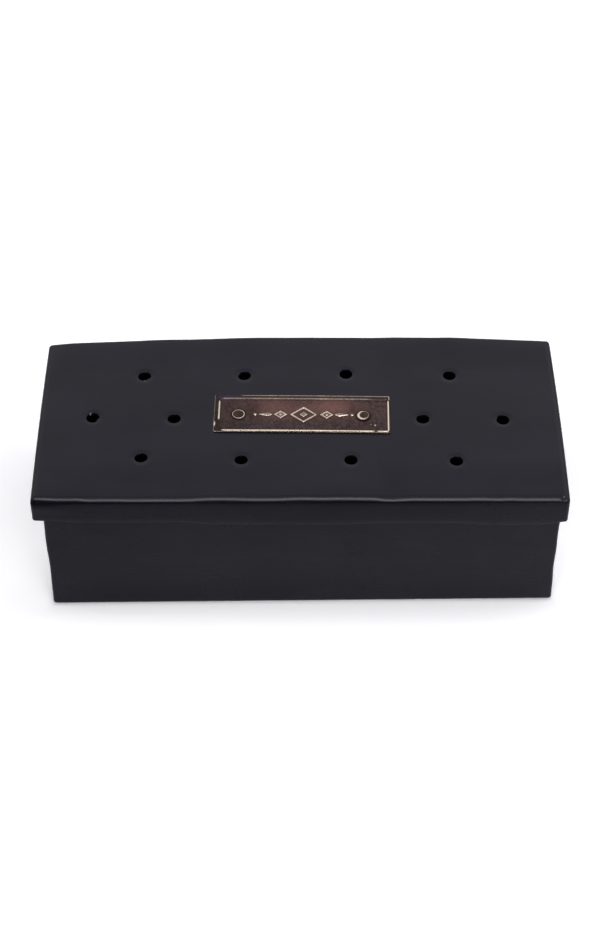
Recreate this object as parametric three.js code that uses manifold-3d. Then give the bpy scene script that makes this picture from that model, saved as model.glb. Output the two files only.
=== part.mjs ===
// Grill smoker box: a deep folded tray for wood chips under a loose, vented lid with a riveted badge.
// Lengths are in millimetres. +X runs along the box, +Z is up, and the origin is the middle of the
// tray's flat underside.
import * as THREE from 'three';
import { mergeVertices } from 'three/addons/utils/BufferGeometryUtils.js';
import Module from 'manifold-3d';

// Sheet stock, shared by the tray and the lid
const sheetThickness = 1.2;
const foldInsideRadius = 0.9;
const weldedCornerRadius = 2;
const leastCornerRadius = 0.3;

// Tray, outside
const trayLength = 204;
const trayWidth = 86;
const trayHeight = 62.5;

// Lid: its skirt slips over the tray with room all round. Its top is arched along its length, while
// the skirt's lower edge stays straight, so the skirt is deepest in the middle.
const lidSideClearance = 1.8;
const lidSkirtHeight = 12.6;
const lidCrown = 1.7;
const lidSideBow = 1.5;
const lidShift = -0.5;
const lidTurnDegrees = -0.51;

// Resting gap between two touching pieces, and the overrun of every cutter
const seatGap = 0.3;
const cutOverrun = 2;

// Vents: punched holes with dished rims, their places as shares of the lid's length and width
const ventRadius = 2.75;
const ventDishRadius = 3.6;
const ventDishDepth = 0.2;
const ventPlaceShares = [
  [-0.3035, 0.256], [-0.108, 0.2505], [0.0905, 0.2585], [0.293, 0.2515],
  [-0.397, -0.005], [-0.241, -0.02], [0.2355, -0.0295], [0.3885, -0.0275],
  [-0.299, -0.258], [-0.1105, -0.279], [0.0955, -0.2825], [0.2935, -0.286],
];

// Badge plate: a thin plate, set a little askew, with a raised border line and ornament. The border
// was struck off the plate's middle, so each of its sides has an inset of its own.
const badgeLength = 71.1;
const badgeWidth = 21.5;
const badgeThickness = 0.5;
const badgeCornerRadius = 0.9;
const badgeX = 1;
const badgeY = -0.15;
const badgeTurnDegrees = -1.1;
const reliefHeight = 0.35;
const reliefRoot = 0.2;
const borderLeftInset = 1.65;
const borderRightInset = 0.6;
const borderFrontInset = 0.2;
const borderBackInset = 2.15;
const borderLine = 0.7;
const borderCornerRadius = 1.2;

// Ornament inside the border: nested lozenges in a row, with a tapering bar and a bead to each side
const lozengeLength = 11;
const lozengeHeight = 9;
const lozengeLine = 0.8;
const lozengeCoreShare = 0.3;
const sideLozengeShare = 0.5;
const sideLozengeSpacing = 9.3;
const barLength = 6;
const barHeight = 1.8;
const barSpacing = 15.4;
const barBreakShare = 0.3;
const beadRadius = 0.6;
const beadSpacing = 19.5;

// Rivets: a domed head on the badge, a shank through both sheets, and an upset tail under the lid
const rivetShankRadius = 1.5;
const rivetHeadRadius = 2.65;
const rivetHeadHeight = 0.9;
const rivetTailRadius = 2.4;
const rivetTailHeight = 1;
const rivetEndDistance = 10.45;
const rivetShiftX = -0.6;
const rivetShiftY = -1.1;

// Smoothness of the round work
const foldSteps = 4;
const cornerSteps = 3;
const traySideSteps = 1;
const lidSideSteps = 18;
const ventSteps = 20;
const rivetSteps = 24;
const domeSteps = 5;
const beadSteps = 10;
const plateCornerSteps = 3;

// Worked out from the sizes above
const foldRadius = foldInsideRadius + sheetThickness;
const lidLength = trayLength + 2 * (lidSideClearance + sheetThickness);
const lidWidth = trayWidth + 2 * (lidSideClearance + sheetThickness);
const lidTopHeight = trayHeight + seatGap + sheetThickness;
const badgeSeat = lidCrown + seatGap;
const badgeTurn = THREE.MathUtils.degToRad(badgeTurnDegrees);
const borderLength = badgeLength - borderLeftInset - borderRightInset;
const borderWidth = badgeWidth - borderFrontInset - borderBackInset;
const borderShiftX = (borderLeftInset - borderRightInset) / 2;
const borderShiftY = (borderFrontInset - borderBackInset) / 2;
const rivetPitch = badgeLength - 2 * rivetEndDistance;
const rivetHoleRadius = rivetShankRadius + seatGap;

const wasm = await Module();
wasm.setup();

// A rise that is 1 in the middle of a length and fades to 0 at both its ends.
function arch(x, length) {
  const share = x / (length / 2);
  return 1 - share * share;
}

// Height of the lid's top face over its ends, at a place along the lid.
function crownAt(x) {
  return lidCrown * arch(x, lidLength);
}

// Back half of a pan's outline, set in from the outside, as points from its left to its right end.
function halfOutline(pan, inset) {
  const halfLength = pan.length / 2 - inset;
  const halfWidth = pan.width / 2 - inset;
  const radius = Math.max(weldedCornerRadius - inset, leastCornerRadius);
  const corner = [];
  for (let i = 0; i <= cornerSteps; i++) {
    const angle = (i / cornerSteps) * (Math.PI / 2);
    corner.push([halfLength - radius * (1 - Math.cos(angle)), halfWidth - radius * (1 - Math.sin(angle))]);
  }
  const points = corner.map(([x, y]) => [-x, y]);
  const straight = halfLength - radius;
  for (let i = 1; i < pan.sideSteps; i++) {
    points.push([straight * ((2 * i) / pan.sideSteps - 1), halfWidth]);
  }
  points.push(...corner.reverse());
  return points.map(([x, y]) => [x, y + pan.sideBow * arch(x, pan.length)]);
}

// Section of a pan's wall as [inset, height]: round the outer fold, up the outside, over the rim,
// down the inside and round the inner fold to the floor.
function wallSection(depth) {
  const section = [];
  for (let i = 0; i <= foldSteps; i++) {
    const angle = (i / foldSteps) * (Math.PI / 2);
    section.push([foldRadius * (1 - Math.sin(angle)), foldRadius * (1 - Math.cos(angle))]);
  }
  section.push([0, depth]);
  section.push([sheetThickness, depth]);
  for (let i = foldSteps; i >= 0; i--) {
    const angle = (i / foldSteps) * (Math.PI / 2);
    section.push([
      foldRadius - foldInsideRadius * Math.sin(angle),
      foldRadius - foldInsideRadius * Math.cos(angle),
    ]);
  }
  return section;
}

// An open pan of folded sheet standing on z = 0: a ring of points for each step of the wall's
// section, closed by the two faces of the floor. The floor swells out by the crown, and the walls
// less and less towards the rim, which stays straight.
function panGeometry(pan) {
  const positions = [];
  const triangles = [];
  const rings = wallSection(pan.depth).map(([inset, height]) => {
    const half = halfOutline(pan, inset);
    const front = half.map(([x, y]) => [x, -y]);
    const swell = pan.crown * (1 - height / pan.depth);
    return [...front, ...half.reverse()].map(([x, y]) => {
      positions.push(x, y, height - swell * arch(x, pan.length));
      return positions.length / 3 - 1;
    });
  });
  const count = rings[0].length;
  for (let k = 0; k + 1 < rings.length; k++) {
    for (let i = 0; i < count; i++) {
      const j = (i + 1) % count;
      triangles.push(rings[k][i], rings[k][j], rings[k + 1][j]);
      triangles.push(rings[k][i], rings[k + 1][j], rings[k + 1][i]);
    }
  }
  const under = rings[0];
  const floor = rings[rings.length - 1];
  for (let i = 0; i + 1 < count / 2; i++) {
    const far = count - 1 - i;
    triangles.push(under[i], under[far], under[far - 1], under[i], under[far - 1], under[i + 1]);
    triangles.push(floor[i], floor[far - 1], floor[far], floor[i], floor[i + 1], floor[far - 1]);
  }
  const geometry = new THREE.BufferGeometry();
  geometry.setAttribute('position', new THREE.Float32BufferAttribute(positions, 3));
  geometry.setIndex(triangles);
  return geometry;
}

// A closed geometry as a solid that can be joined and cut.
function solidOf(geometry) {
  const bare = geometry.clone();
  bare.deleteAttribute('normal');
  bare.deleteAttribute('uv');
  const merged = mergeVertices(bare);
  const corners = merged.index.array;
  const triangles = [];
  for (let i = 0; i < corners.length; i += 3) {
    const [a, b, c] = corners.slice(i, i + 3);
    if (a !== b && b !== c && c !== a) {
      triangles.push(a, b, c);
    }
  }
  const mesh = new wasm.Mesh({
    numProp: 3,
    vertProperties: new Float32Array(merged.attributes.position.array),
    triVerts: new Uint32Array(triangles),
  });
  return new wasm.Manifold(mesh);
}

function geometryOf(solid) {
  const { vertProperties, triVerts } = solid.getMesh();
  const geometry = new THREE.BufferGeometry();
  geometry.setAttribute('position', new THREE.BufferAttribute(vertProperties, 3));
  geometry.setIndex(new THREE.BufferAttribute(triVerts, 1));
  geometry.computeVertexNormals();
  return geometry;
}

// A solid of revolution about Z from [radius, height] points.
function turned(points, steps) {
  const profile = points.map(([radius, height]) => new THREE.Vector2(radius, height));
  return new THREE.LatheGeometry(profile, steps).rotateX(Math.PI / 2);
}

// A flat plate of an outline, from z = 0 up.
function plate(shape, thickness) {
  return new THREE.ExtrudeGeometry(shape, {
    depth: thickness,
    bevelEnabled: false,
    curveSegments: plateCornerSteps,
  });
}

function roundedRectangle(length, width, radius) {
  const x = length / 2;
  const y = width / 2;
  const shape = new THREE.Shape();
  shape.moveTo(-x + radius, -y);
  shape.lineTo(x - radius, -y);
  shape.absarc(x - radius, -y + radius, radius, -Math.PI / 2, 0, false);
  shape.lineTo(x, y - radius);
  shape.absarc(x - radius, y - radius, radius, 0, Math.PI / 2, false);
  shape.lineTo(-x + radius, y);
  shape.absarc(-x + radius, y - radius, radius, Math.PI / 2, Math.PI, false);
  shape.lineTo(-x, -y + radius);
  shape.absarc(-x + radius, -y + radius, radius, Math.PI, Math.PI * 1.5, false);
  return shape;
}

function polygon(points) {
  return new THREE.Shape(points.map(([x, y]) => new THREE.Vector2(x, y)));
}

function lozenge(length, height) {
  return polygon([[-length / 2, 0], [0, -height / 2], [length / 2, 0], [0, height / 2]]);
}

// Rivet places in the badge's own frame, left then right.
function rivetPlaces() {
  return [-1, 1].map((side) => [rivetShiftX + (side * rivetPitch) / 2, rivetShiftY]);
}

// A place on the badge, in the lid's frame.
function fromBadge([x, y]) {
  const point = new THREE.Vector2(x, y).rotateAround(new THREE.Vector2(), badgeTurn);
  return [badgeX + point.x, badgeY + point.y];
}

function trayGeometry() {
  return panGeometry({
    length: trayLength,
    width: trayWidth,
    depth: trayHeight,
    sideBow: 0,
    crown: 0,
    sideSteps: traySideSteps,
  });
}

// Cutter for one vent: a shallow dish in the top face above the punched hole.
function ventCutter() {
  const deep = -sheetThickness - cutOverrun;
  return turned([
    [0, deep],
    [ventRadius, deep],
    [ventRadius, -ventDishDepth],
    [ventDishRadius, 0],
    [ventDishRadius, cutOverrun],
    [0, cutOverrun],
  ], ventSteps);
}

function rivetHoleCutter() {
  const reach = sheetThickness + cutOverrun;
  return turned([[0, -reach], [rivetHoleRadius, -reach], [rivetHoleRadius, reach], [0, reach]], rivetSteps);
}

// The lid: a pan turned upside down, its top face at z = 0 over its ends, with vents and rivet holes.
function lidGeometry() {
  const shell = panGeometry({
    length: lidLength,
    width: lidWidth,
    depth: lidSkirtHeight,
    sideBow: lidSideBow,
    crown: lidCrown,
    sideSteps: lidSideSteps,
  }).rotateX(Math.PI);
  let solid = solidOf(shell);
  for (const [xShare, yShare] of ventPlaceShares) {
    const x = xShare * lidLength;
    const y = yShare * lidWidth;
    solid = solid.subtract(solidOf(ventCutter().translate(x, y, crownAt(x))));
  }
  for (const [x, y] of rivetPlaces().map(fromBadge)) {
    solid = solid.subtract(solidOf(rivetHoleCutter().translate(x, y, crownAt(x))));
  }
  return geometryOf(solid);
}

// One raised mark on the badge, rooted a little way into the plate.
function relief(shape) {
  return plate(shape, reliefRoot + reliefHeight).translate(0, 0, badgeThickness - reliefRoot);
}

// The border line: a rounded rectangle with a smaller one left out of it.
function borderRelief() {
  const shape = roundedRectangle(borderLength, borderWidth, borderCornerRadius);
  const innerRadius = Math.max(borderCornerRadius - borderLine, leastCornerRadius);
  const inner = roundedRectangle(borderLength - 2 * borderLine, borderWidth - 2 * borderLine, innerRadius);
  shape.holes.push(inner);
  return relief(shape).translate(borderShiftX, borderShiftY, 0);
}

// A nested lozenge: an outline ring round a solid core.
function lozengeRelief(length, height) {
  const ring = lozenge(length, height);
  const slope = Math.hypot(length, height) / (length * height);
  const inside = 1 - 2 * lozengeLine * slope;
  ring.holes.push(lozenge(length * inside, height * inside));
  return [relief(ring), relief(lozenge(length * lozengeCoreShare, height * lozengeCoreShare))];
}

// A bar that swells near its inner end and runs out to a point.
function barRelief(side) {
  const swell = -barLength / 2 + barLength * barBreakShare;
  const half = barHeight / 2;
  const points = [[-barLength / 2, 0], [swell, -half], [barLength / 2, 0], [swell, half]];
  const turnedPoints = side > 0 ? points : points.map(([x, y]) => [-x, -y]);
  return relief(polygon(turnedPoints)).translate(side * barSpacing, 0, 0);
}

function beadRelief() {
  const top = badgeThickness + reliefHeight;
  const root = badgeThickness - reliefRoot;
  return turned([[0, root], [beadRadius, root], [beadRadius, top], [0, top]], beadSteps);
}

// Every raised mark of the ornament, centred in the border.
function ornament() {
  const marks = [...lozengeRelief(lozengeLength, lozengeHeight)];
  for (const side of [-1, 1]) {
    const pair = lozengeRelief(lozengeLength * sideLozengeShare, lozengeHeight * sideLozengeShare);
    marks.push(...pair.map((mark) => mark.translate(side * sideLozengeSpacing, 0, 0)));
    marks.push(barRelief(side));
    marks.push(beadRelief().translate(side * beadSpacing, 0, 0));
  }
  return marks.map((mark) => mark.translate(borderShiftX, borderShiftY, 0));
}

// The badge lies with its underside at z = 0.
function badgeGeometry() {
  let solid = solidOf(plate(roundedRectangle(badgeLength, badgeWidth, badgeCornerRadius), badgeThickness));
  solid = solid.add(solidOf(borderRelief()));
  for (const mark of ornament()) {
    solid = solid.add(solidOf(mark));
  }
  for (const [x, y] of rivetPlaces()) {
    solid = solid.subtract(solidOf(rivetHoleCutter().translate(x, y, 0)));
  }
  return geometryOf(solid);
}

// A dome's points from its rim at the given height to its pole, rising or hanging by its height.
function domePoints(radius, base, height) {
  const points = [];
  for (let i = 0; i <= domeSteps; i++) {
    const angle = (i / domeSteps) * (Math.PI / 2);
    points.push([radius * Math.cos(angle), base + height * Math.sin(angle)]);
  }
  points[domeSteps][0] = 0;
  return points;
}

// A rivet at a place along the lid, with the badge's underside at z = 0.
function rivetGeometry(lidX) {
  const headBase = badgeThickness + seatGap;
  const tailTop = crownAt(lidX) - badgeSeat - sheetThickness - seatGap;
  const profile = [
    ...domePoints(rivetTailRadius, tailTop, -rivetTailHeight).reverse(),
    [rivetShankRadius, tailTop],
    [rivetShankRadius, headBase],
    ...domePoints(rivetHeadRadius, headBase, rivetHeadHeight),
  ];
  return turned(profile, rivetSteps);
}

const blackPaint = { color: 0x2c2b2f, roughness: 0.5, metalness: 0 };
const agedBronze = { color: 0x5a3f36, roughness: 0.45, metalness: 0.9 };
const rivetBronze = { color: 0x6a4a3e, roughness: 0.4, metalness: 0.9 };

function piece(name, geometry, finish) {
  const mesh = new THREE.Mesh(geometry, new THREE.MeshStandardMaterial(finish));
  mesh.name = name;
  return mesh;
}

function badgeGroup() {
  const group = new THREE.Group();
  group.position.set(badgeX, badgeY, badgeSeat);
  group.rotation.z = badgeTurn;
  group.add(piece('badge_plate', badgeGeometry(), agedBronze));
  const names = ['badge_rivet_left', 'badge_rivet_right'];
  rivetPlaces().forEach(([x, y], i) => {
    const rivet = piece(names[i], rivetGeometry(fromBadge([x, y])[0]), rivetBronze);
    rivet.position.set(x, y, 0);
    group.add(rivet);
  });
  return group;
}

// The loose lid, shifted and turned a little on the tray, with all that it carries.
function lidGroup() {
  const group = new THREE.Group();
  group.position.set(lidShift, 0, lidTopHeight);
  group.rotation.z = THREE.MathUtils.degToRad(lidTurnDegrees);
  group.add(piece('lid_shell', lidGeometry(), blackPaint));
  group.add(badgeGroup());
  return group;
}

const smokerBox = new THREE.Group();
smokerBox.add(piece('tray', trayGeometry(), blackPaint));
smokerBox.add(lidGroup());

export default smokerBox;
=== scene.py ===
# %% [markdown]
# A grill smoker box is two pans of folded sheet iron. The tray holds wood chips, and the lid slips
# over it upside down, with punched vents and a riveted bronze badge. Sheet metal looks flat, yet
# what makes it look real is small: round folds, ground corners, dished vents, edges that wander. So
# every piece here is a fine surface worked out with numpy, laid around the plain model, which the
# script loads first as its fixed frame.

import bmesh
import bpy
import numpy as np
from mathutils import Matrix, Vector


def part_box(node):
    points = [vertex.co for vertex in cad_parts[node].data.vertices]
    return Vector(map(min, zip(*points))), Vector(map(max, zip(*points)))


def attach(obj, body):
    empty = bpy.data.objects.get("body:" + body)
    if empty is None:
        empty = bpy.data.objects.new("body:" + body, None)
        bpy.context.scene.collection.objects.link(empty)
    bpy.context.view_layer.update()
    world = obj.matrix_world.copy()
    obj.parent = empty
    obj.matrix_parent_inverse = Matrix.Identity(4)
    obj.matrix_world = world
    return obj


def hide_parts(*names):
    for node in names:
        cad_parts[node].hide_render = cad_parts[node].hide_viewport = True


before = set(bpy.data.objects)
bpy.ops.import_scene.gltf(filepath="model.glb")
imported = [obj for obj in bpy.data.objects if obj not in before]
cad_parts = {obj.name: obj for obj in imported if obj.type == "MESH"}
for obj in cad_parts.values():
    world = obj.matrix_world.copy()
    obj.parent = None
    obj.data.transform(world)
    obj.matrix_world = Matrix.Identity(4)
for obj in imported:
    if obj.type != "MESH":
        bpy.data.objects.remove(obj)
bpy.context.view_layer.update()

# %% [markdown]
# The sizes come first, in millimetres. The tray is read from the frame, and the lid follows from it
# as in the workshop: the tray, plus room for the skirt to slip over it, plus the sheet on each side.

# %% Sizes of the tray and the lid
MM = 0.001
tray_low, tray_high = (np.array(corner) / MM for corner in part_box("tray"))
TRAY_LENGTH, TRAY_WIDTH, TRAY_HEIGHT = tray_high - tray_low
SHEET = 1.2
CLEARANCE = 1.8
SEAT_GAP = 0.3
LID_LENGTH = TRAY_LENGTH + 2 * (CLEARANCE + SHEET)
LID_WIDTH = TRAY_WIDTH + 2 * (CLEARANCE + SHEET)
LID_TOP = TRAY_HEIGHT + SEAT_GAP + SHEET
LID_SHIFT = (-0.5, 0.0)
LID_TURN = np.radians(-0.51)
print("tray", np.round([TRAY_LENGTH, TRAY_WIDTH, TRAY_HEIGHT], 2), "lid top", round(LID_TOP, 2))

# %% [markdown]
# Every surface is a grid of points, so one helper numbers the corners of a grid's faces, and another
# puts several grids into one mesh. Neighbouring grids share the points along their seam, and a row
# that shrinks to a point is a pole: merging the doubles closes both. The helper prints how many
# edges are left open, which has to be none.

# %% Grids of points into closed meshes
SEAM = 1e-6


def grid_faces(rows, columns, wrap=False):
    """Corner numbers of a grid's faces, row by row; wrap joins each row's end to its start."""
    number = np.arange(rows * columns).reshape(rows, columns)
    if wrap:
        number = np.hstack([number, number[:, :1]])
    return np.stack([number[:-1, :-1], number[1:, :-1], number[1:, 1:], number[:-1, 1:]], axis=-1)


def closed_piece(name, parts, marks=None):
    """One object from pairs of points and faces, with its marks as attributes of the points."""
    counts = np.cumsum([0] + [points.size // 3 for points, faces in parts])
    points = np.concatenate([part.reshape(-1, 3) for part, faces in parts])
    faces = np.concatenate([part.reshape(-1, 4) + start for (_, part), start in zip(parts, counts)])
    mesh = bpy.data.meshes.new(name)
    mesh.from_pydata(points * MM, [], faces)
    for mark, values in (marks or {}).items():
        mesh.attributes.new(mark, "FLOAT", "POINT").data.foreach_set("value", values.astype(np.float32))
    work = bmesh.new()
    work.from_mesh(mesh)
    bmesh.ops.remove_doubles(work, verts=work.verts, dist=SEAM)
    open_edges = sum(not edge.is_manifold for edge in work.edges)
    work.to_mesh(mesh)
    work.free()
    mesh.shade_smooth()
    piece = bpy.data.objects.new(name, mesh)
    bpy.context.scene.collection.objects.link(piece)
    print(name, len(mesh.polygons), "faces,", open_edges, "open edges")
    return piece


print("a grid of 3 by 4 points has", grid_faces(3, 4)[..., 0].size, "faces")


# %% [markdown]
# A pan's plan is a rectangle whose corners are welded and ground round. Rings of points run round
# it, and their corner radius shrinks to nothing by the time they reach the flat. There a plain grid
# of rows and columns takes over, so the rings have the same rows and columns along their sides.
# Stacked along the wall's section, they make the outer fold, the outside, the rim's rounded edge,
# the inside and the inner fold.

# %% Rings round a pan, and the section of its wall
CORNER_STEPS = 7
FOLD_STEPS = 12
EDGE_STEPS = 4
WALL_STEP = 2.5
QUARTERS = [(1, -1), (1, 1), (-1, 1), (-1, -1)]


def rings_round(xs, ys, half, flat_inset, corner, insets):
    """Rings round a rounded rectangle, one for each inset, as an array of ring, point and xy.

    The corner radius falls evenly from its full size at inset 0 to nothing at the flat's inset, and
    the sides carry the grid's own rows and columns, stretched to the straight part that is left.
    """
    inset = np.asarray(insets)[:, None]
    radius = corner * (1 - inset / flat_inset)
    reach_x, reach_y = half[0] - inset, half[1] - inset
    straight_x, straight_y = reach_x - radius, reach_y - radius
    u, v = xs / xs[-1], ys / ys[-1]
    turn = np.linspace(0, np.pi / 2, CORNER_STEPS + 1)[1:-1]
    sides = []
    for quarter, (sign_x, sign_y) in enumerate(QUARTERS):
        order = 1 if quarter < 2 else -1
        if quarter % 2:
            sides.append((sign_x * reach_x + 0 * v, v[::order] * straight_y))
        else:
            sides.append((u[::order] * straight_x, sign_y * reach_y + 0 * u))
        angle = turn + (quarter - 1) * np.pi / 2
        centre = (sign_x * straight_x, sign_y * straight_y)
        sides.append((centre[0] + radius * np.cos(angle), centre[1] + radius * np.sin(angle)))
    return np.stack([np.concatenate(part, axis=1) for part in zip(*sides)], axis=-1)


def quarter(radius, steps):
    """Inset and drop along a quarter circle, from level at the top to upright at the side."""
    turn = np.linspace(0, np.pi / 2, steps + 1)
    return radius * (1 - np.sin(turn)), radius * (1 - np.cos(turn))


def wall_section(depth, fold, edge):
    """Inset and drop along a wall: over the outer fold, down, round the rim, up, the inner fold."""
    outer_in, outer_down = quarter(fold, FOLD_STEPS)
    inner_in, inner_down = quarter(fold - SHEET, FOLD_STEPS)
    rim_up, rim_in = quarter(edge, EDGE_STEPS)
    levels = np.linspace(fold, depth - edge, round((depth - fold) / WALL_STEP) + 2)[1:-1]
    inset = [outer_in, 0 * levels, rim_in, SHEET - rim_in[::-1], 0 * levels + SHEET, SHEET + inner_in[::-1]]
    drop = [outer_down, levels, depth - rim_up, depth - rim_up[::-1], levels[::-1], SHEET + inner_down[::-1]]
    return np.concatenate(inset), np.concatenate(drop)


print("points along a wall 12 mm deep:", wall_section(12, 2 * SHEET, SHEET / 4)[0].size)

# %% [markdown]
# Three small tools shape everything below: a smooth step, a bell, and lines whose spacing is fine
# where there is something to show.

# %% Steps, bells and graded lines
LINE_SAMPLES = 8001


def eased(share):
    """A smooth rise from 0 to 1 as the share goes from 0 to 1: three squares less two cubes."""
    share = np.clip(share, 0, 1)
    return share * share * (3 - 2 * share)


def bell(x, y, reach_x, reach_y):
    """1 at the origin, falling off like a bell with a reach of its own each way."""
    return np.exp(-(x / reach_x) ** 2 - (y / reach_y) ** 2)


def graded_lines(low, high, zones, fine, coarse, fade=3.0):
    """Places from low to high whose spacing is fine inside the zones and coarse away from them.

    The number of lines per millimetre is one over the spacing. Its running sum is cut into equal
    steps, and the places where the steps fall are the lines.
    """
    x = np.linspace(low, high, LINE_SAMPLES)
    away = np.min([np.maximum(np.maximum(a - x, x - b), 0) for a, b in zones], axis=0)
    density = 1 / (fine + (coarse - fine) * eased(away / fade))
    total = np.concatenate([[0], np.cumsum((density[1:] + density[:-1]) / 2 * np.diff(x))])
    return np.interp(np.linspace(0, total[-1], round(total[-1]) + 1), total, x)


print("lines over 10 mm, fine in the middle:", np.round(graded_lines(0, 10, [(4, 6)], 0.5, 3), 1))

# %% [markdown]
# The vents are real holes. A boolean cut would leave long thin triangles that spoil a satin sheen,
# so the grid itself is drawn round them: near a vent the lines are close together, and each square
# of lines about its middle is pushed out to a circle. The squares relax back to the plain grid a few
# millimetres away. The faces inside the innermost circle are left out, and a short sleeve joins the
# hole in the top face to the one underneath.

# %% Draw a grid's lines round its holes
HOLE_RING = 6
CALM_RING = 12
RING_STEP = 0.2
FINE = 0.45
ZONE = (CALM_RING + 0.6) * FINE
NICK_WIDTH = 0.32


def rim_share(bearing, squash, lean, nick_bearing, nick):
    """A hole's reach over its radius: squashed across its lean, less a bell in bearing for the nick."""
    off_nick = (bearing - nick_bearing + np.pi) % (2 * np.pi) - np.pi
    squashed = 1 + (squash - 1) * np.sin(bearing - lean) ** 2
    return squashed * (1 - nick * np.exp(-(off_nick / NICK_WIDTH) ** 2))


def punched_grid(xs, ys, holes):
    """A grid's places in plan, drawn round holes, with its kept faces and each hole's rim.

    A point's ring is the larger of its two steps from the hole's middle. Its bearing on the square
    ring becomes an even bearing on a circle, and the place goes from circle to plain grid by an
    eased share of the way from the hole's ring to the calm ring.
    """
    plain = np.stack(np.meshgrid(xs, ys, indexing="ij"), axis=-1)
    plan = plain.copy()
    keep = np.ones((len(xs) - 1, len(ys) - 1), bool)
    rims = []
    for x, y, radius, *shape in holes:
        middle = (np.abs(xs - x).argmin(), np.abs(ys - y).argmin())
        span = tuple(slice(m - CALM_RING, m + CALM_RING + 1) for m in middle)
        step = np.arange(-CALM_RING, CALM_RING + 1)
        di, dj = np.meshgrid(step, step, indexing="ij")
        ring = np.maximum(np.abs(di), np.abs(dj))
        sideways = np.abs(di) >= np.abs(dj)
        ratio = np.where(sideways, dj / np.where(di == 0, 1, di), -di / np.where(dj == 0, 1, dj))
        base = np.where(sideways, np.where(di > 0, 0, np.pi), np.sign(dj) * np.pi / 2)
        bearing = base + ratio * np.pi / 4
        reach = (radius + (ring - HOLE_RING) * RING_STEP) * rim_share(bearing, *shape)
        circle = np.stack([x + reach * np.cos(bearing), y + reach * np.sin(bearing)], axis=-1)
        share = eased((ring - HOLE_RING) / (CALM_RING - HOLE_RING))[..., None]
        plan[span] = circle * (1 - share) + plain[span] * share
        inside = slice(middle[0] - HOLE_RING, middle[0] + HOLE_RING)
        keep[inside, middle[1] - HOLE_RING:middle[1] + HOLE_RING] = False
        at_rim = np.argwhere(ring == HOLE_RING)
        order = np.argsort(bearing[tuple(at_rim.T)] % (2 * np.pi))
        rims.append(at_rim[order] + np.array(middle) - CALM_RING)
    return plan, keep, rims


print("points round a hole:", 8 * HOLE_RING)

# %% [markdown]
# The lid's top isn't flat. Folding the long skirts has drawn it into a low arch, highest a little to
# the right of the middle, and its long sides bow outwards with it. The skirt hangs deeper at the
# right than at the left, and the long folds wander up and down by a few tenths of a millimetre. The
# front skirt bulges a little at its left end, and the front right corner has had a knock. A few
# curves, added to a plain pan, say all this.

# %% The lid's curves
LID_FOLD = 2.6
LID_CORNER = 1.3
LID_EDGE = 0.35
SKIRT = 12.0
CROWN = 1.75
CROWN_X = 13.0
SIDE_BOW = 1.5
BACK_TAPER = 0.45
LEFT_BOW, RIGHT_BOW = 0.3, 0.4
# How sharply a curve of the two ends keeps to the ends
END_POWER = 8
# The top's faint ripple: its height, and the lengths of its two waves along x and y
RIPPLE, RIPPLE_WAVES = 0.04, ((9.3, 21), (-31, 11.7))
# The front skirt's bulge: its depth, place along the lid, drop, and reach each way
BULGE, BULGE_X, BULGE_DROP, BULGE_REACH = 0.26, -101.5, 4.8, (6, 1.7)
# The knock at the front right corner: its depth, place and reach
KNOCK, KNOCK_PLACE, KNOCK_REACH = 1.1, (102.4, -44.9), 0.6

half_lid = np.array([LID_LENGTH, LID_WIDTH]) / 2


def lid_arch(x):
    """1 at the crown's top and 0 at both ends, each side a parabola level at the top."""
    left = (x + half_lid[0]) / (CROWN_X + half_lid[0])
    right = (half_lid[0] - x) / (half_lid[0] - CROWN_X)
    share = np.clip(np.minimum(left, right), 0, 1)
    return 1 - (1 - share) ** 2


print("arch at the ends and the middle:", lid_arch(np.array([-1, 0, 1]) * half_lid[0]).round(2))

# %% The lid's hand-made edges
# Place along the lid, and how deep the skirt hangs there
SKIRT_DEPTHS = [
    (-105, 11.85), (-83, 13.0), (-63, 13.05), (-45, 13.05), (-36, 14.1), (-20, 14.45), (12, 14.6),
    (33, 14.0), (44, 13.7), (62, 14.0), (75, 15.1), (96, 14.8), (105, 13.3),
]
# Place along the lid, and how far the front and the back fold are lifted there
FRONT_LIFTS = [
    (-105, 0.3), (-99, 0.05), (-95, -0.2), (-87, -0.2), (-82, -0.48), (-74, -0.42), (-64, -0.56),
    (-44, -0.57), (-35, -0.15), (-29, -0.15), (-16, -0.4), (-9, -0.43), (0, -0.12), (8, -0.27),
    (15, -0.17), (27, -0.28), (36, -0.88), (42, -0.48), (56, -0.5), (64, -0.48), (70, -0.4),
    (77, -0.6), (81, -0.5), (88, -0.65), (97, -0.62), (105, -0.65),
]
BACK_LIFTS = [
    (-105, -0.3), (-95, 0.45), (-72, 0.35), (-57, 0.6), (-44, 0.35), (-21, 0.65), (0, 0.35),
    (18, 0.05), (29, -0.05), (42, 0.4), (53, 0.5), (64, 0.85), (76, 0.55), (105, 0.4),
]


def along_table(place, table):
    """A smooth curve through a table's places and values: each span eased from one to the next."""
    places, values = np.array(table, float).T
    index = np.clip(np.searchsorted(places, place) - 1, 0, len(places) - 2)
    share = eased((place - places[index]) / (places[index + 1] - places[index]))
    return values[index] + (values[index + 1] - values[index]) * share


def near_edge(side):
    """1 at the long side where side is 1, eased to 0 about halfway to the middle."""
    return eased(side * 2.2 - 1.2)


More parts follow.
